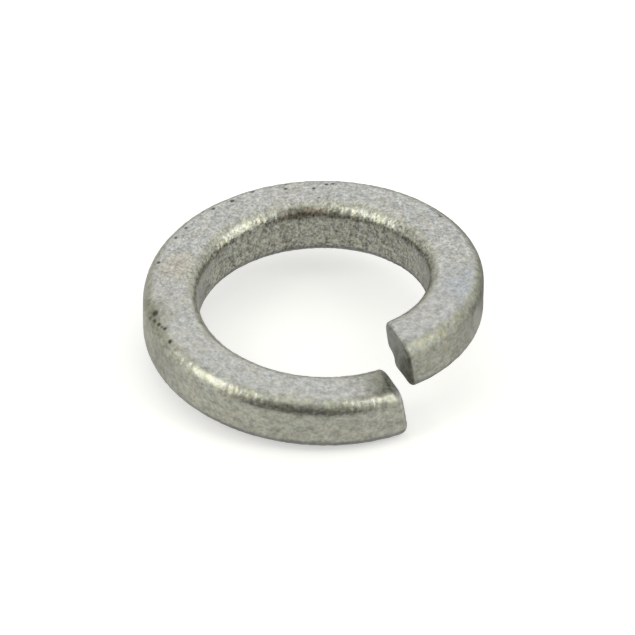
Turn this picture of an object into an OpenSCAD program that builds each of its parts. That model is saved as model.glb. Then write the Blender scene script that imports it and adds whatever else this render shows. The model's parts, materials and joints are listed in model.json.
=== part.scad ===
// Square-section spring lock washer for a 16 mm bolt.
// One turn of spring-steel wire, coiled left-handed so that its ends bite
// when a right-hand nut works loose, and cut through by one leaning blade.
// The axis of the bore is Z, and the washer rests on z = 0 by its low end.

/* [Bore and wire] */
// Diameter of the bore, which clears the bolt
bore_d = 16.5; // [12:0.1:24]
// Radial width of the wire
wire_w = 4.0; // [2.5:0.1:6]
// Axial thickness of the wire
wire_t = 4.2; // [2.5:0.1:6]
// Radius of the wire's four rolled corners
corner_r = 1.05; // [0.2:0.05:1.2]

/* [Coil] */
// Height of the high end over the low end when nothing clamps the washer
end_rise = 4.05; // [2:0.05:6]

/* [Cut] */
// Bearing of the cut round the axis, counterclockwise from +X
cut_bearing = -53.7; // [-180:0.1:180]
// Gap that the blade leaves between the two end faces at one height, along the coil
cut_gap = 0.85; // [0.6:0.05:2]
// Lean of the blade from the axis, which gives each end its biting edge
cut_lean = 10.5; // [4:0.5:16]
// Swing of the blade from the radial line, clockwise towards the rim
cut_swing = 12; // [0:1:15]
// Radius of the worn rim round the high end's face
high_rim_r = 0.25; // [0.1:0.05:0.6]
// Radius of the pressed-over rim round the low end's face
low_rim_r = 0.65; // [0.1:0.05:0.8]

/* [Smoothness] */
// Number of steps along the coil
coil_steps = 120; // [60:6:180]
// Number of steps round each corner of the wire
corner_steps = 5; // [3:1:6]
// Number of steps round the rim of each end face
rim_steps = 4; // [2:1:6]

/* [Hidden] */

zinc_colour = [0.66, 0.67, 0.65];

bore_r = bore_d / 2;
outer_r = bore_r + wire_w;
mean_r = bore_r + wire_w / 2;
free_h = wire_t + end_rise;

// The swept walls stand proud by the sag of one step and a hair, and are turned true.
wall_spare = outer_r * (1 / cos(180 / coil_steps) - 1) + 0.01;
turning_over = 1;
turning_fn = 240;

// Angle that an arc of this length spans at the mean radius
function arc_angle(length) = length / mean_r * 180 / PI;

// Both end faces lie along one leaning slab, so the high one starts further back.
slab_shift = tan(cut_lean) * end_rise / 2;
high_end = arc_angle(cut_gap / 2 - slab_shift);
low_end = 360 - high_end;

// [angle in from the end face, inset] of each step round a rim of radius r
function rim_step(r, step) =
    let (turn = 90 * step / rim_steps)
    [arc_angle(r * (1 - cos(turn))), r * (1 - sin(turn))];

plain_start = high_end + arc_angle(high_rim_r);
plain_end = low_end - arc_angle(low_rim_r);

// The top of the high end reaches furthest at its outer side, the foot of the low end at its inner side.
flat_half = wire_w / 2 + wall_spare - corner_r;
brow = plain_start + blade_angle([mean_r + flat_half, wire_t / 2]);
foot = plain_end + blade_angle([mean_r - flat_half, -wire_t / 2]);

// Height of the middle of the wire at an angle, falling evenly from brow to foot
function wire_mid(angle) = wire_t / 2 + end_rise * (foot - angle) / (foot - brow);

// Outline of the wire as [radius, height from its middle], taken in by inset
function wire_outline(inset) =
    let (
        half_w = wire_w / 2 + wall_spare - inset,
        half_t = wire_t / 2 - inset,
        r = max(corner_r - inset, corner_r / 3)
    )
    [
        for (corner = [0:3])
            let (
                side_w = corner == 0 || corner == 1 ? 1 : -1,
                side_t = corner == 1 || corner == 2 ? 1 : -1
            )
            for (step = [0:corner_steps])
                let (turn = 90 * (corner - 1 + step / corner_steps))
                [
                    mean_r + side_w * (half_w - r) + r * cos(turn),
                    side_t * (half_t - r) + r * sin(turn)
                ]
    ];

// Angle by which the blade's lean and swing set a point of the outline back round the coil
function blade_angle(point) =
    -asin((tan(cut_swing) * (point.x - mean_r) + tan(cut_lean) * point.y) / point.x);

// One section of the coil: the outline laid in the blade's plane at an angle
function coil_section(angle, inset) = [
    for (point = wire_outline(inset))
        let (at = angle + blade_angle(point))
        [point.x * cos(at), point.x * sin(at), wire_mid(at) + point.y]
];

coil_sections = concat(
    [for (step = [0:rim_steps])
        let (rim = rim_step(high_rim_r, step))
        coil_section(high_end + rim[0], rim[1])],
    [for (step = [1:coil_steps - 1])
        coil_section(plain_start + (plain_end - plain_start) * step / coil_steps, 0)],
    [for (step = [rim_steps:-1:0])
        let (rim = rim_step(low_rim_r, step))
        coil_section(low_end - rim[0], rim[1])]
);

module swept_coil() {
    around = len(coil_sections[0]);
    last = len(coil_sections) - 1;
    polyhedron(
        points = [for (section = coil_sections) each section],
        faces = concat(
            [[for (i = [0:around - 1]) i]],
            [for (s = [0:last - 1], i = [0:around - 1])
                let (a = s * around + i, b = s * around + (i + 1) % around)
                each [[a, a + around, b], [b, a + around, b + around]]],
            [[for (i = [around - 1:-1:0]) last * around + i]]
        ),
        convexity = 6
    );
}

// The coil with its outer wall turned true and its bore reamed
module spring_washer() {
    color(zinc_colour)
    rotate([0, 0, cut_bearing])
    difference() {
        intersection() {
            swept_coil();
            translate([0, 0, -turning_over])
                cylinder(r = outer_r, h = free_h + 2 * turning_over, $fn = turning_fn);
        }
        translate([0, 0, -2 * turning_over])
            cylinder(r = bore_r, h = free_h + 4 * turning_over, $fn = turning_fn);
    }
}

spring_washer();
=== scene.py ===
import json
import math

import bpy
import numpy as np
from mathutils import Matrix, Vector, noise


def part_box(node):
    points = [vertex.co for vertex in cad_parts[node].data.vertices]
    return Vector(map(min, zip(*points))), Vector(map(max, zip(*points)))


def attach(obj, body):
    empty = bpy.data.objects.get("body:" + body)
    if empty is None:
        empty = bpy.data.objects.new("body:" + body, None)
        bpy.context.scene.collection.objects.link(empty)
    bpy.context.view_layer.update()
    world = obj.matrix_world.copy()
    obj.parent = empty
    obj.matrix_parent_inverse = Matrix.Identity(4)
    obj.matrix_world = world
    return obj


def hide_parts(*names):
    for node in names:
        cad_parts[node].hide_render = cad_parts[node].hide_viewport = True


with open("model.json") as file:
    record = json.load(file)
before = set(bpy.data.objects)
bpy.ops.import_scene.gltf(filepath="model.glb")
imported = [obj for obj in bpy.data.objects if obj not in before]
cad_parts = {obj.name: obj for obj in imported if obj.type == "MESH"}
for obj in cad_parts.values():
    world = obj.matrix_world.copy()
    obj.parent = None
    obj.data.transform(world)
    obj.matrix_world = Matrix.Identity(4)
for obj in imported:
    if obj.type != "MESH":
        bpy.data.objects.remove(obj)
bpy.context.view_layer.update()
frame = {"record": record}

# Camera
# A long lens looks down on the washer from the front, with the cut to the right.
# The washer's middle lies a little above and left of the middle of the frame.
low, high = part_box("spring_washer")
washer_centre = (Vector(low) + Vector(high)) / 2
view_elevation = math.radians(37.69)
view_roll = math.radians(-0.77)
view_distance = 0.55
frame_px = 635
px_per_m = 13887
washer_centre_px = (313.04, 304.57)
sensor_mm = 36

camera_data = bpy.data.cameras.new("camera")
camera_data.sensor_width = sensor_mm
camera_data.lens = sensor_mm * px_per_m * view_distance / frame_px
camera = bpy.data.objects.new("camera", camera_data)
bpy.context.scene.collection.objects.link(camera)
camera_tilt = Matrix.Rotation(math.pi / 2 - view_elevation, 3, "X")
camera_turn = camera_tilt @ Matrix.Rotation(-view_roll, 3, "Z")
centre_seen = Vector((
    (washer_centre_px[0] - frame_px / 2) / px_per_m,
    (frame_px / 2 - washer_centre_px[1]) / px_per_m,
    -view_distance,
))
camera_place = washer_centre - camera_turn @ centre_seen
camera.matrix_world = Matrix.Translation(camera_place) @ camera_turn.to_4x4()
bpy.context.scene.camera = camera

# Spring washer
# One turn of square-section spring-steel wire, coiled left-handed and cut by one leaning blade.
# The dull zinc coat is speckled on the flats, streaked across the rolled corners where it shines
# most, crazed in the bore, and torn dark on the two cut ends.
mm = 0.001
outer_r = (high[0] - low[0]) / 2
bore_r = frame["record"]["mounts"][0]["dims"]["r_mm"] * mm
wire_w = outer_r - bore_r
wire_t = 4.2 * mm
end_rise = high[2] - low[2] - wire_t
mean_r = bore_r + wire_w / 2

# The inner upper corner is worn rounder beside the top. The outer one, the brow, is rubbed rounder
# beside the wall, on the half by the cut. keystone is the top's rise towards the bore, per mm.
corner_r = 1.05 * mm
worn_corner_r = 1.5 * mm
rubbed_corner_r = 1.3 * mm
rubbed_fade = 1.5
keystone = 0.03

cut_bearing = math.radians(-53.7)
cut_gap = 0.85 * mm
cut_lean = math.radians(10.5)
cut_swing = math.radians(12)
high_rim_r = 0.25 * mm
low_rim_r = 0.65 * mm
worn_tip_r = 0.45 * mm
worn_tip_reach = 1.5 * mm

# Steps of the mesh along the coil, round the wire, round the rims and out from each face's middle
along_steps = 800
wall_steps = 18
top_steps = 24
under_steps = 10
top_corner_steps = 12
under_corner_steps = 8
rim_steps = 5
face_rings = 18

slab_shift = math.tan(cut_lean) * end_rise / 2
high_end = (cut_gap / 2 - slab_shift) / mean_r
low_end = 2 * math.pi - high_end
flat_half = wire_w / 2 - corner_r


def blade_angle(side, up):
    """Angle by which the blade's lean and swing set a point of the wire back round the coil."""
    return -np.arcsin((math.tan(cut_swing) * side + math.tan(cut_lean) * up) / (mean_r + side))


plain_start = high_end + high_rim_r / mean_r
plain_end = low_end - low_rim_r / mean_r
brow = plain_start + blade_angle(flat_half, wire_t / 2)
foot = plain_end + blade_angle(-flat_half, -wire_t / 2)


def wire_mid(angle):
    """Height of the middle of the wire, falling evenly from the high end to the low end."""
    return low[2] + wire_t / 2 + end_rise * (foot - angle) / (foot - brow)


def wire_outline(brow_r):
    """Points round the wire as [outward, up] from its middle, and the way each one faces."""
    half_w = wire_w / 2
    half_t = wire_t / 2
    slant = math.sqrt(0.5)
    arcs = []
    for corner, (side_w, side_t) in enumerate(((1, -1), (1, 1), (-1, 1), (-1, -1))):
        steps = top_corner_steps if side_t > 0 else under_corner_steps
        turns = np.radians(90 * (corner - 1) + 90 * np.arange(steps + 1) / steps)
        facing = np.stack([np.cos(turns), np.sin(turns)], 1)
        # Each corner is two arcs that meet on its diagonal, where a plain corner would be too.
        flat_r = worn_corner_r if (side_w, side_t) == (-1, 1) else corner_r
        wall_r = brow_r if (side_w, side_t) == (1, 1) else corner_r
        r = np.where(np.abs(facing[:, 1]) > slant, flat_r, wall_r)[:, None]
        diagonal = np.array([side_w, side_t]) * slant
        middle = np.array([
            side_w * (half_w - wall_r + (wall_r - corner_r) * slant),
            side_t * (half_t - flat_r + (flat_r - corner_r) * slant),
        ])
        arcs.append((middle + (corner_r - r) * diagonal + r * facing, facing))
    outline = []
    facings = []
    for corner, steps in enumerate((wall_steps, top_steps, wall_steps, under_steps)):
        arc, facing = arcs[corner]
        following = arcs[(corner + 1) % 4][0]
        flat = np.linspace(arc[-1], following[0], steps, endpoint=False)[1:]
        outline += [arc, flat]
        facings += [facing, np.repeat(facing[-1:], len(flat), 0)]
    outline = np.concatenate(outline)
    # Coiling squeezed the wire thicker at its inner side, which its top shows.
    outline[:, 1] += keystone * (half_w - outline[:, 0]) * np.clip(outline[:, 1] / half_t, 0, 1)
    return outline, np.concatenate(facings)


front_outline, outline_facing = wire_outline(rubbed_corner_r)
back_outline = wire_outline(corner_r)[0]
ring_angles = []
ring_outlines = []
ring_facings = []


def add_ring(angle, outline, into_coil):
    """Lays down one ring of points. into_coil is how far it faces along the coil, from -1 to 1."""
    ring_angles.append(angle + blade_angle(outline[:, 0], outline[:, 1]))
    ring_outlines.append(outline)
    turned = outline_facing * math.sqrt(1 - into_coil ** 2)
    ring_facings.append(np.column_stack([turned, np.full(len(outline), into_coil)]))


def add_end(angle, rim_r, out):
    """Lays down an end face from its middle outward, and its rim. out is -1 or 1 along the coil."""
    rings_out = []
    face_outline = front_outline - outline_facing * rim_r[:, None]
    for size in np.arange(1, face_rings) / face_rings:
        rings_out.append((angle, face_outline * size, out))
    for step in range(rim_steps + 1):
        rim_turn = math.pi / 2 * step / rim_steps
        outline = front_outline - outline_facing * rim_r[:, None] * (1 - math.sin(rim_turn))
        shift = rim_r * (1 - math.cos(rim_turn)) / mean_r
        rings_out.append((angle - out * shift, outline, out * math.cos(rim_turn)))
    for ring in rings_out[::-out]:
        add_ring(*ring)


# The rim of the high end is worn most where its face, its top and the bore meet.
worn_tip = np.array([-wire_w / 2, wire_t / 2])
tip_wear = np.exp(-((front_outline - worn_tip) ** 2).sum(1) / worn_tip_reach ** 2)
high_rim = high_rim_r + (worn_tip_r - high_rim_r) * tip_wear
low_rim = np.full(len(front_outline), low_rim_r)

add_end(high_end, high_rim, -1)
high_start = high_end + high_rim / mean_r
low_start = low_end - low_rim / mean_r
for step in range(1, along_steps):
    angle = high_start + (low_start - high_start) * step / along_steps
    front_share = np.clip(0.5 - rubbed_fade * np.sin(angle + cut_bearing), 0, 1)[:, None]
    add_ring(angle, back_outline + (front_outline - back_outline) * front_share, 0.0)
add_end(low_end, low_rim, 1)

# From here on every point has its place along, outward and up, as if the wire lay straight, in mm.
# fold is 1 in the middle of a rolled corner and 0 on the flats, and on_cut is 1 on the end faces.
angles = np.array(ring_angles)
wire_facing = np.array(ring_facings)
wire_place = np.dstack([angles * mean_r, np.array(ring_outlines)]) / mm
rings, around = angles.shape
fold = np.clip(np.abs(wire_facing[..., 0] * wire_facing[..., 1]) * 2, 0, 1)
on_cut = np.abs(wire_facing[..., 2])


def grain(along, outward, up):
    """Bumps of one size in mm, from about -1 to 1, over the wire as if it lay straight."""
    spots = (wire_place / (along, outward, up)).reshape(-1, 3)
    return np.array([noise.noise(Vector(spot)) for spot in spots]).reshape(rings, around)


def along_at(bearing):
    """How far along the straight wire a bearing lies, in mm, with the bearing in degrees from +X."""
    return (math.radians(bearing) - cut_bearing) % (2 * math.pi) * mean_r / mm


def bump_round(middle, reach):
    """A smooth bump from 0 to 1 round one place, with its reach in mm."""
    return np.exp(-((wire_place - middle) ** 2).sum(-1) / reach ** 2)


# How far the coat stands over the plain form, in mm.
slow_waves = 0.010 * grain(3.2, 2.6, 2.6)
orange_peel = 0.006 * grain(0.7, 0.7, 0.7) + 0.007 * grain(0.3, 0.3, 0.3)
rolled_streaks = fold * (0.025 * grain(0.3, 0.5, 0.5) + 0.008 * grain(0.16, 0.35, 0.35))
torn_furrows = on_cut * 0.012 * grain(0.5, 1.3, 0.5)
relief = slow_waves + orange_peel + rolled_streaks + torn_furrows

# The high end's face is broken away at its lower inner corner.
broken_place = (along_at(-49.2), -1.8, -1.5)
broken_reach = 0.55
broken_depth = 0.30
relief -= broken_depth * bump_round(broken_place, broken_reach)

# Pits in the coat: degrees from +X, mm outward and up from the wire's middle, radius, depth in mm.
pits = (
    (-166.2, 1.42, 1.97, 0.39, 0.10),
    (-160.1, 1.48, 1.95, 0.26, 0.035),
    (-156.6, 1.25, 2.05, 0.22, 0.035),
    (-150.3, 1.48, 1.94, 0.26, 0.035),
    (-166.0, 1.83, 1.62, 0.24, 0.025),
    (-162.9, 1.62, 1.85, 0.24, 0.03),
    (-158.2, 1.36, 2.01, 0.20, 0.025),
    (166.6, 1.25, 2.05, 0.23, 0.05),
    (151.8, 1.11, 2.08, 0.20, 0.04),
    (145.1, 1.08, 2.08, 0.21, 0.05),
    (136.4, 1.14, 2.07, 0.17, 0.03),
    (130.4, 1.09, 2.08, 0.23, 0.05),
    (122.3, 0.96, 2.10, 0.27, 0.06),
    (113.3, 1.25, 2.05, 0.26, 0.05),
    (101.2, 0.63, 2.10, 0.21, 0.05),
    (100.6, 1.23, 2.06, 0.17, 0.03),
    (90.4, 0.34, 2.10, 0.21, 0.04),
    (94.6, -0.79, 2.10, 0.15, 0.03),
    (88.2, -0.81, 2.10, 0.20, 0.04),
    (85.6, 0.85, 2.10, 0.20, 0.04),
    (83.2, 0.95, 2.10, 0.21, 0.04),
    (41.1, -1.11, 2.08, 0.17, 0.04),
    (38.6, 1.17, 2.07, 0.15, 0.03),
    (37.3, 1.12, 2.08, 0.17, 0.03),
    (36.0, 1.07, 2.08, 0.21, 0.04),
)
# A pit is marked less dark where it is shallower than about this depth, in mm.
dark_depth = 0.04
least_dark = 0.1
pit_mark = np.zeros((rings, around))
for pit_bearing, pit_side, pit_up, pit_r, pit_depth in pits:
    pit_shape = bump_round((along_at(pit_bearing), pit_side, pit_up), pit_r * math.sqrt(0.5))
    relief -= pit_depth * pit_shape
    pit_mark = np.maximum(pit_mark, pit_shape * min(1, pit_depth / dark_depth + least_dark))

stands_off = wire_facing * relief[..., None] * mm
sides = mean_r + wire_place[..., 1] * mm + stands_off[..., 0]
heights = wire_mid(angles) + wire_place[..., 2] * mm + stands_off[..., 1]
bearings = angles + cut_bearing + stands_off[..., 2] / sides
places = np.stack([sides * np.cos(bearings), sides * np.sin(bearings), heights], -1)

points = places.reshape(-1, 3).tolist()
faces = []
for ring in range(rings - 1):
    for spot in range(around):
        a = ring * around + spot
        b = ring * around + (spot + 1) % around
        faces.append((a, a + around, b + around, b))
first_tip = len(points)
points.append(places[0].mean(0).tolist())
last_tip = len(points)
points.append(places[-1].mean(0).tolist())
for spot in range(around):
    following = (spot + 1) % around
    faces.append((first_tip, spot, following))
    faces.append((last_tip, (rings - 1) * around + following, (rings - 1) * around + spot))

washer_mesh = bpy.data.meshes.new("spring_washer_coated")
washer_mesh.from_pydata(points, [], faces)
washer_mesh.polygons.foreach_set("use_smooth", [True] * len(washer_mesh.polygons))


def add_mark(name, kind, field, values, tips):
    """Keeps one value of each point for the material, with those of the two face middles last."""
    mark = washer_mesh.attributes.new(name, kind, "POINT")
    mark.data.foreach_set(field, np.concatenate([values.reshape(-1), np.array(tips).reshape(-1)]))


tip_places = [wire_place[0].mean(0), wire_place[-1].mean(0)]
add_mark("wire_place", "FLOAT_VECTOR", "vector", wire_place, tip_places)
add_mark("wire_facing", "FLOAT_VECTOR", "vector", wire_facing, [(0, 0, -1), (0, 0, 1)])
add_mark("fold_mark", "FLOAT", "value", fold, [0, 0])
add_mark("pit_mark", "FLOAT", "value", pit_mark, [0, 0])
washer_mesh.update()
washer = bpy.data.objects.new("spring_washer_coated", washer_mesh)
bpy.context.scene.collection.objects.link(washer)


def feed(value, socket):
    """Gives an input its value: another node's output, a number, a vector or a colour."""
    if isinstance(value, bpy.types.NodeSocket):
        socket.id_data.links.new(value, socket)
    elif socket.type == "RGBA":
        socket.default_value = (*value, 1)
    else:
        socket.default_value = value


def coat_noise(place, size, detail, roughness, distortion=0.0):
    """Noise from 0 to 1 with grains of this size along, outward and up the wire, in mm."""
    scaled = place.id_data.nodes.new("ShaderNodeVectorMath")
    scaled.operation = "DIVIDE"
    feed(place, scaled.inputs[0])
    feed(size, scaled.inputs[1])
    node = place.id_data.nodes.new("ShaderNodeTexNoise")
    feed(scaled.outputs["Vector"], node.inputs["Vector"])
    node.inputs["Scale"].default_value = 1.0
    node.inputs["Detail"].default_value = detail
    node.inputs["Roughness"].default_value = roughness
    node.inputs["Distortion"].default_value = distortion
    return node.outputs["Fac"]


def fit_range(value, old, new=(0.0, 1.0), kind="LINEAR"):
    """Maps a value from one range to another and holds it there."""
    node = value.id_data.nodes.new("ShaderNodeMapRange")
    node.interpolation_type = kind
    node.inputs["From Min"].default_value, node.inputs["From Max"].default_value = old
    node.inputs["To Min"].default_value, node.inputs["To Max"].default_value = new
    feed(value, node.inputs["Value"])
    return node.outputs["Result"]


def ease_range(value, old, new=(0.0, 1.0)):
    """Maps a value from one range to another with a soft start and end."""
    return fit_range(value, old, new, "SMOOTHSTEP")


def combine(operation, first, second=None):
    """One Math node on an output, and on a second one or a number."""
    node = first.id_data.nodes.new("ShaderNodeMath")
    node.operation = operation
    feed(first, node.inputs[0])
    if second is not None:
        feed(second, node.inputs[1])
    return node.outputs[0]


def times(first, *others):
    """The product of two or more outputs."""
    for other in others:
        first = combine("MULTIPLY", first, other)
    return first


def blend(share, first, second):
    """Two colours mixed by a share that changes over the surface."""
    node = share.id_data.nodes.new("ShaderNodeMix")
    node.data_type = "RGBA"
    feed(share, node.inputs["Factor"])
    feed(first, node.inputs[6])
    feed(second, node.inputs[7])
    return node.outputs[2]


def split(vector):
    """The three parts of a vector."""
    node = vector.id_data.nodes.new("ShaderNodeSeparateXYZ")
    feed(vector, node.inputs[0])
    return tuple(node.outputs)


def new_group(name, inputs, outputs):
    """A shader node group with named sockets, each input given as (name, kind, value)."""
    group = bpy.data.node_groups.new(name, "ShaderNodeTree")
    for socket, kind, value in inputs:
        made = group.interface.new_socket(socket, in_out="INPUT", socket_type=kind)
        if value is not None:
            made.default_value = value
    for socket, kind in outputs:
        group.interface.new_socket(socket, in_out="OUTPUT", socket_type=kind)
    taken = group.nodes.new("NodeGroupInput").outputs
    given = group.nodes.new("NodeGroupOutput").inputs
    return group, taken, given


# Speckle: the coat's fine dark and light grains, as a tone to multiply its colour by.
speckle, speckle_in, speckle_out = new_group(
    "coat_speckle",
    [
        ("Place", "NodeSocketVector", None),
        ("Fine", "NodeSocketFloat", 1.0),
        ("Broad", "NodeSocketFloat", 1.0),
    ],
    [("Tone", "NodeSocketFloat"), ("Height", "NodeSocketFloat")],
)
fine = coat_noise(speckle_in["Place"], (0.21, 0.21, 0.21), detail=3.0, roughness=0.6)
broad = coat_noise(speckle_in["Place"], (0.55, 0.45, 0.45), detail=2.0, roughness=0.5)
grains = times(fit_range(fine, (0.3, 0.7), (-0.42, 0.36)), speckle_in["Fine"])
clouds = times(fit_range(broad, (0.3, 0.7), (-0.15, 0.15)), speckle_in["Broad"])
feed(combine("ADD", combine("ADD", grains, clouds), 1.0), speckle_out["Tone"])
feed(fine, speckle_out["Height"])

# Crazing: dark crooked lines and specks in the coat, which are strongest in the bore.
crazing, crazing_in, crazing_out = new_group(
    "coat_crazing",
    [("Place", "NodeSocketVector", None)],
    [("Mask", "NodeSocketFloat")],
)
warp = coat_noise(crazing_in["Place"], (0.4, 0.4, 0.4), detail=2.0, roughness=0.5, distortion=2.2)
from_line = combine("ABSOLUTE", combine("SUBTRACT", warp, 0.5))
crazed_area = coat_noise(crazing_in["Place"], (0.9, 0.7, 0.7), detail=2.0, roughness=0.5)
crazed_lines = times(ease_range(from_line, (0.06, 0.0)), ease_range(crazed_area, (0.35, 0.55)))
feed(crazed_lines, crazing_out["Mask"])

# Stain or painted shade: a soft patch round one place, ragged at its edge.
stain_or_shade, stain_or_shade_in, stain_or_shade_out = new_group(
    "coat_stain_or_shade",
    [
        ("Place", "NodeSocketVector", None),
        ("Middle", "NodeSocketVector", None),
        ("Reach", "NodeSocketFloat", 2.0),
    ],
    [("Mask", "NodeSocketFloat")],
)
away = stain_or_shade.nodes.new("ShaderNodeVectorMath")
away.operation = "DISTANCE"
feed(stain_or_shade_in["Place"], away.inputs[0])
feed(stain_or_shade_in["Middle"], away.inputs[1])
ragged = coat_noise(stain_or_shade_in["Place"], (0.6, 0.6, 0.6), detail=4.0, roughness=0.65)
ragged = fit_range(ragged, (0.25, 0.75), (-0.35, 0.35))
away_share = combine("DIVIDE", away.outputs["Value"], stain_or_shade_in["Reach"])
feed(ease_range(combine("ADD", away_share, ragged), (1.0, 0.2)), stain_or_shade_out["Mask"])

zinc = bpy.data.materials.new("zinc_coat")
zinc.use_nodes = True
zinc_tree = zinc.node_tree
coat = zinc_tree.nodes["Principled BSDF"]


def read_mark(name, output):
    """A value that add_mark keeps on the mesh."""
    node = zinc_tree.nodes.new("ShaderNodeAttribute")
    node.attribute_name = name
    return node.outputs[output]


def use_group(group, place, **values):
    """A group laid over the wire in the zinc coat, with its own values."""
    node = zinc_tree.nodes.new("ShaderNodeGroup")
    node.node_tree = group
    feed(place, node.inputs["Place"])
    for socket, value in values.items():
        feed(value, node.inputs[socket])
    return node.outputs


# Where a point lies on the straight wire and which way it faces there.
place = read_mark("wire_place", "Vector")
outward, up = split(place)[1:]
facing_out, facing_up, facing_along = split(read_mark("wire_facing", "Vector"))
folded = read_mark("fold_mark", "Fac")
pitted = read_mark("pit_mark", "Fac")
on_wall = combine("ABSOLUTE", facing_out)
in_bore = ease_range(facing_out, (-0.5, -0.95))
cut_facing = combine("ABSOLUTE", facing_along)
washer_place = zinc_tree.nodes.new("ShaderNodeTexCoord").outputs["Object"]
front = ease_range(split(washer_place)[1], (4 * mm, -4 * mm))
# The torn colour of the ends runs over the high end's rim at its foot, and fades near the top.
coated_top = ease_range(up, (0.9, 1.9), (0.0, 0.45))
coated_low_end = fit_range(facing_along, (0.0, 0.2), (0.0, 0.35))
coated = combine("ADD", coated_top, coated_low_end)
torn = ease_range(combine("SUBTRACT", cut_facing, coated), (0.15, 0.6))

# Colour: cool grey flats, olive corners, olive walls darkened as painted shade, near-black pits, dark
# torn ends.
flat_grey = (0.508, 0.514, 0.498)
warm_grey = (0.514, 0.508, 0.463)
shaded_wall_grey = (0.318, 0.319, 0.278)
corner_grey = (0.452, 0.460, 0.423)
corner_yellow = (0.480, 0.485, 0.393)
worn_bright = (0.60, 0.60, 0.535)
shaded_under_grey = (0.28, 0.28, 0.26)
shaded_foot_dark = (0.15, 0.15, 0.145)
torn_grey = (0.24, 0.255, 0.23)
torn_brown = (0.145, 0.145, 0.118)
pit_dark = (0.06, 0.06, 0.045)
craze_dark = (0.13, 0.13, 0.10)
cool_tint = (0.985, 1.0, 1.026)
warm_tint = (1.015, 1.0, 0.966)

# Stains on the coat, and patches of painted shade, with the middle of each along, outward and up in mm,
# and its reach.
tan_stain = (0.51, 0.49, 0.43)
tan_place = (along_at(168.3), -0.42, 2.1)
tan_reach = 2.6
blue_stain = (0.465, 0.485, 0.495)
blue_place = (along_at(-10.2), 0.77, 2.1)
blue_reach = 2.8
olive_stain = (0.36, 0.36, 0.295)
olive_place = (along_at(-166), 2.1, 1.1)
olive_reach = 3.2
back_corner_shade = (0.235, 0.23, 0.185)
back_corner_shade_place = (along_at(98), -1.7, 1.6)
back_corner_shade_reach = 2.4
bronze_stain = (0.40, 0.31, 0.275)
bronze_bearings = (87, 92, 103)
bronze_reach = 1.0
cut_shade = (0.335, 0.335, 0.285)
cut_shade_place = (along_at(-61.5), 0.1, 2.1)
cut_shade_reach = 3.0


def lay_stain_or_shade(under, stain_or_shade_colour, middle, reach, *limits):
    """A colour with a stain or painted shade laid round one place, held back where a limit is below 1."""
    mask = use_group(stain_or_shade, place, Middle=middle, Reach=reach)["Mask"]
    return blend(times(mask, *limits), under, stain_or_shade_colour)


drift = coat_noise(place, (2.4, 1.6, 1.6), detail=3.0, roughness=0.55)
colour = blend(ease_range(drift, (0.42, 0.66), (0.0, 0.6)), flat_grey, warm_grey)
colour = lay_stain_or_shade(colour, tan_stain, tan_place, tan_reach)
colour = lay_stain_or_shade(colour, blue_stain, blue_place, blue_reach)
# Painted shade: the walls, in the bore and outside, take a darker grey than the flats.
colour = blend(ease_range(on_wall, (0.55, 1.0)), colour, shaded_wall_grey)

# The rolled corners are grey and yellow in patches, and worn bright at the inner one.
patches = coat_noise(place, (0.45, 0.7, 0.7), detail=2.0, roughness=0.5)
yellowed = blend(ease_range(patches, (0.4, 0.6)), corner_grey, corner_yellow)
colour = blend(ease_range(folded, (0.4, 1.0), (0.0, 0.9)), colour, yellowed)
worn_inside = times(ease_range(facing_out, (-0.1, -0.4), (0.0, 0.6)), ease_range(facing_up, (0.62, 0.85)))
colour = blend(worn_inside, colour, worn_bright)
colour = lay_stain_or_shade(colour, olive_stain, olive_place, olive_reach)
# Painted shade: a dark patch on the inner corner at the back, where it mirrors the dark gap in front,
# fading towards the top.
back_corner_shade_limits = (fit_range(folded, (0.3, 0.8)), ease_range(facing_up, (0.93, 0.72)))
colour = lay_stain_or_shade(colour, back_corner_shade, back_corner_shade_place, back_corner_shade_reach, *back_corner_shade_limits)
bronze_limits = (
    ease_range(patches, (0.40, 0.55), (0.0, 0.8)),
    fit_range(folded, (0.45, 0.85)),
    fit_range(facing_up, (0.85, 0.68)),
)
for bearing in bronze_bearings:
    bronze_place = (along_at(bearing), -1.85, 1.4)
    colour = lay_stain_or_shade(colour, bronze_stain, bronze_place, bronze_reach, *bronze_limits)
# Painted shade on the low end's top near the cut, held back where the surface faces along the coil.
off_cut = fit_range(cut_facing, (0.0, 0.5), (1.0, 0.0))
colour = lay_stain_or_shade(colour, cut_shade, cut_shade_place, cut_shade_reach, off_cut)

# Painted shade: the underside, which faces the floor, is a darker grey.
colour = blend(ease_range(facing_up, (-0.3, -0.9)), colour, shaded_under_grey)
tint_drift = coat_noise(place, (0.75, 0.6, 0.6), detail=3.0, roughness=0.6)
tint = blend(fit_range(tint_drift, (0.36, 0.64)), cool_tint, warm_tint)
tinted = zinc_tree.nodes.new("ShaderNodeVectorMath")
tinted.operation = "MULTIPLY"
feed(colour, tinted.inputs[0])
feed(tint, tinted.inputs[1])
# Painted shade: the lower corners by the floor are darkened nearly to black.
shaded_foot = times(fit_range(facing_up, (0.0, -0.3)), fit_range(folded, (0.1, 0.7)))
colour = blend(shaded_foot, tinted.outputs["Vector"], shaded_foot_dark)

# The blade tore the ends in slanting blotches. The ends are also darker and browner towards the lower
# outer side.
slanted = zinc_tree.nodes.new("ShaderNodeVectorRotate")
slanted.rotation_type = "X_AXIS"
slanted.inputs["Angle"].default_value = math.radians(45)
feed(place, slanted.inputs["Vector"])
blotches = coat_noise(slanted.outputs["Vector"], (1.0, 0.55, 2.4), detail=3.0, roughness=0.6)
low_outside = fit_range(combine("SUBTRACT", outward, up), (-2.2, 3.0), (-0.14, 0.16))
browned = ease_range(combine("ADD", blotches, low_outside), (0.38, 0.64))
colour = blend(torn, colour, blend(browned, torn_grey, torn_brown))
craze_share = fit_range(facing_out, (0.2, -1.0), (0.16, 0.7))
colour = blend(times(use_group(crazing, place)["Mask"], craze_share), colour, craze_dark)

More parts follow.
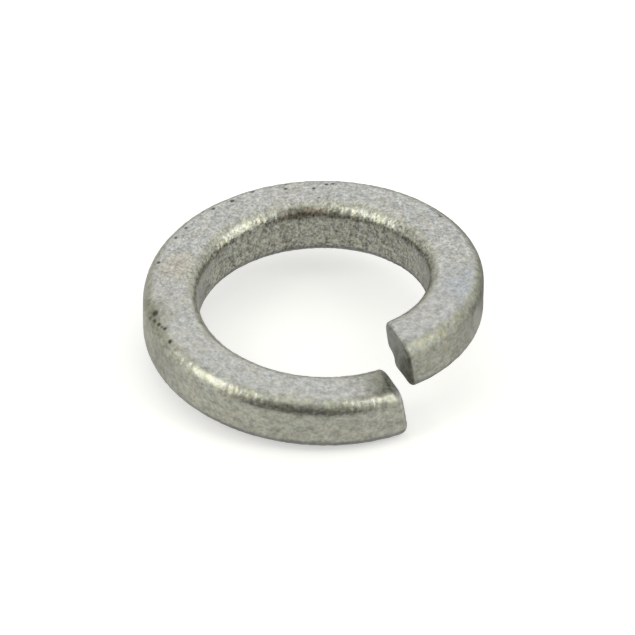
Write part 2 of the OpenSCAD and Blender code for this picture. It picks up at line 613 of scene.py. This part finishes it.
# The fine grain is strongest in the bore, and rubbed fainter on the front half's top and corners.
walled = fit_range(on_wall, (0.7, 1.0))
rubbed = combine("SUBTRACT", front, times(front, walled))
fine_share = times(
    fit_range(rubbed, (0.0, 1.0), (1.0, 0.58)),
    fit_range(walled, (0.0, 1.0), (1.0, 0.75)),
    fit_range(in_bore, (0.0, 1.0), (1.0, 2.2)),
    fit_range(folded, (0.3, 1.0), (1.0, 0.85)),
    fit_range(torn, (0.0, 1.0), (1.0, 0.2)),
)
speckled = use_group(speckle, place, Fine=fine_share, Broad=1.2)
toned = zinc_tree.nodes.new("ShaderNodeVectorMath")
toned.operation = "SCALE"
feed(colour, toned.inputs[0])
feed(speckled["Tone"], toned.inputs["Scale"])
colour = blend(ease_range(pitted, (0.15, 0.75), (0.0, 0.9)), toned.outputs["Vector"], pit_dark)
feed(colour, coat.inputs["Base Color"])
coat.inputs["Metallic"].default_value = 1.0

# The coat is duller in its light grains, on the torn ends, and on the outer side by the high end.
scuff_place = (0.8, 1.6, 1.7)
scuff_reach = 7.0
scuff_dulling = 0.2
scuffed = use_group(stain_or_shade, place, Middle=scuff_place, Reach=scuff_reach)["Mask"]
scuffed = times(scuffed, fit_range(facing_out, (0.0, 0.3)))
dulled = fit_range(speckled["Height"], (0.3, 0.7), (0.30, 0.44))
dulled = combine("SUBTRACT", dulled, fit_range(folded, (0.2, 1.0), (0.0, 0.02)))
dulled = combine("ADD", dulled, fit_range(cut_facing, (0.05, 0.35), (0.0, 0.22)))
dulled = combine("ADD", dulled, combine("MULTIPLY", scuffed, scuff_dulling))
feed(dulled, coat.inputs["Roughness"])

# Bumps too fine for the mesh: sand-like grain everywhere, and streaks across the rolled corners.
streaks = coat_noise(place, (0.2, 0.5, 0.5), detail=2.0, roughness=0.5)
fine_streaks = times(streaks, fit_range(folded, (0.1, 0.8), (0.0, 0.9)))
sand = times(speckled["Height"], fit_range(folded, (0.2, 0.9), (1.0, 0.5)))
bump = zinc_tree.nodes.new("ShaderNodeBump")
bump.inputs["Strength"].default_value = 1.0
bump.inputs["Distance"].default_value = 0.02 * mm
feed(combine("ADD", sand, fine_streaks), bump.inputs["Height"])
feed(bump.outputs["Normal"], coat.inputs["Normal"])
washer_mesh.materials.append(zinc)

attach(washer, "root")
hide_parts("spring_washer")

# Floor
# A plain pale sheet of paper that the washer lies on, with nothing fixed to it.
# It shows white, and keeps a soft shadow.
floor_half = 2.0
paper_white = (0.8, 0.8, 0.79)
painted_floor_shade = (0.08, 0.075, 0.07)
paper_glow = 0.42

floor_mesh = bpy.data.meshes.new("floor")
floor_corners = [(x * floor_half, y * floor_half, 0) for x, y in ((-1, -1), (1, -1), (1, 1), (-1, 1))]
floor_mesh.from_pydata(floor_corners, [], [(0, 1, 2, 3)])
floor = bpy.data.objects.new("floor", floor_mesh)
floor.location.z = low[2]
bpy.context.scene.collection.objects.link(floor)

paper = bpy.data.materials.new("floor_paper")
paper.use_nodes = True
paper_tree = paper.node_tree
sheet = paper_tree.nodes["Principled BSDF"]
sheet.inputs["Roughness"].default_value = 0.9
sheet.inputs["Specular IOR Level"].default_value = 0.0
sheet.inputs["Emission Color"].default_value = (1, 1, 1, 1)
seen = paper_tree.nodes.new("ShaderNodeLightPath").outputs
shown = combine("MAXIMUM", seen["Is Camera Ray"], seen["Is Glossy Ray"])
shown = combine("MAXIMUM", shown, seen["Is Transmission Ray"])

# Painted shade that only the washer's shine shows: in reflections the floor is dark out of the picture in
# front, and dimmer in parts beside, behind and within the washer, most at the right.
floor_place = paper_tree.nodes.new("ShaderNodeTexCoord").outputs["Object"]
floor_right, floor_back = split(floor_place)[:2]
off_middle = combine("ABSOLUTE", floor_right)
off_ahead = combine("ABSOLUTE", combine("DIVIDE", floor_right, floor_back))
dark_ahead = times(ease_range(floor_back, (-18 * mm, -28 * mm)), ease_range(off_ahead, (1.1, 0.6)))
dim_beside = times(
    ease_range(off_middle, (9 * mm, 13 * mm), (0.0, 0.3)),
    ease_range(floor_back, (-8 * mm, -2 * mm)),
)
dim_behind = ease_range(floor_back, (11 * mm, 14 * mm), (0.0, 0.5))
dim_within = times(
    ease_range(off_middle, (3.5 * mm, 5.5 * mm), (0.0, 0.4)),
    ease_range(floor_back, (2.5 * mm, 5 * mm)),
    ease_range(floor_right, (0.0, 4 * mm), (1.0, 1.9)),
)
unlit = dark_ahead
for dim in (dim_beside, dim_behind, dim_within):
    unlit = combine("MAXIMUM", unlit, dim)
unlit = times(unlit, seen["Is Glossy Ray"])
lit = combine("SUBTRACT", shown, unlit)
feed(blend(unlit, paper_white, painted_floor_shade), sheet.inputs["Base Color"])
feed(combine("MULTIPLY", lit, paper_glow), sheet.inputs["Emission Strength"])
floor_mesh.materials.append(paper)

# Studio light
# A pale tent stands all round, brightest behind, with a dark gap in front where the camera looks in.
# Two tall soft boxes light the washer from the left and the right of the camera.
box_distance = 0.9
box_width = 0.34
box_height = 0.75
box_brightness = 2.6
box_colour = (1.0, 0.995, 0.94)


def direction(bearing, elevation):
    """The way out from the washer at a bearing from +X and an elevation, both in degrees."""
    bearing = math.radians(bearing)
    elevation = math.radians(elevation)
    return Vector((
        math.cos(bearing) * math.cos(elevation),
        math.sin(bearing) * math.cos(elevation),
        math.sin(elevation),
    ))


def add_soft_box(name, bearing, elevation):
    """A lamp that faces the washer. Its brightness is what a mirror would show, where 1 is white."""
    lamp = bpy.data.lights.new(name, "AREA")
    lamp.shape = "RECTANGLE"
    lamp.size = box_width
    lamp.size_y = box_height
    lamp.energy = box_brightness * math.pi * box_width * box_height
    lamp.color = box_colour
    box = bpy.data.objects.new(name, lamp)
    toward = direction(bearing, elevation)
    box.location = washer_centre + toward * box_distance
    box.rotation_euler = toward.to_track_quat("Z", "Y").to_euler()
    bpy.context.scene.collection.objects.link(box)


add_soft_box("left_box", bearing=-156, elevation=34)
add_soft_box("right_box", bearing=-24, elevation=33)

world = bpy.data.worlds.new("studio")
world.use_nodes = True
bpy.context.scene.world = world
tent = world.node_tree
looking = tent.nodes.new("ShaderNodeTexCoord").outputs["Generated"]
looking_back, looking_up = split(looking)[1:]

tent_cloth = (0.66, 0.66, 0.61)
back_cloth = (1.04, 1.04, 1.03)
top_cloth = (0.92, 0.92, 0.86)
foot_cloth = (0.1, 0.1, 0.1)
gap_dark = (0.12, 0.113, 0.10)
gap_middle = direction(-96, 2)
gap_size = (0.75, 1.0, 0.72)


def tent_vector(operation, first, second=None):
    """One Vector Math node on a direction in the tent."""
    node = tent.nodes.new("ShaderNodeVectorMath")
    node.operation = operation
    feed(first, node.inputs[0])
    if second is not None:
        feed(second, node.inputs[1])
    return node.outputs["Value" if operation in ("DOT_PRODUCT", "LENGTH") else "Vector"]


toward_back = tent_vector("DOT_PRODUCT", looking, direction(90, 38))
toward_top = tent_vector("DOT_PRODUCT", looking, direction(-90, 74))
low_back = times(ease_range(looking_up, (0.36, 0.03), (0.0, 0.4)), ease_range(looking_back, (0.7, 0.92)))
off_gap = tent_vector("DIVIDE", tent_vector("SUBTRACT", looking, gap_middle), gap_size)
in_gap = ease_range(tent_vector("LENGTH", off_gap), (1.15, 0.5))
room = blend(ease_range(toward_back, (0.55, 0.97)), tent_cloth, back_cloth)
room = blend(ease_range(toward_top, (0.80, 0.97)), room, top_cloth)
room = blend(low_back, room, foot_cloth)
room = blend(in_gap, room, gap_dark)
backdrop = tent.nodes["Background"]
feed(room, backdrop.inputs["Color"])
backdrop.inputs["Strength"].default_value = 1.0

bpy.context.scene.view_settings.view_transform = "Standard"

bpy.context.view_layer.update()
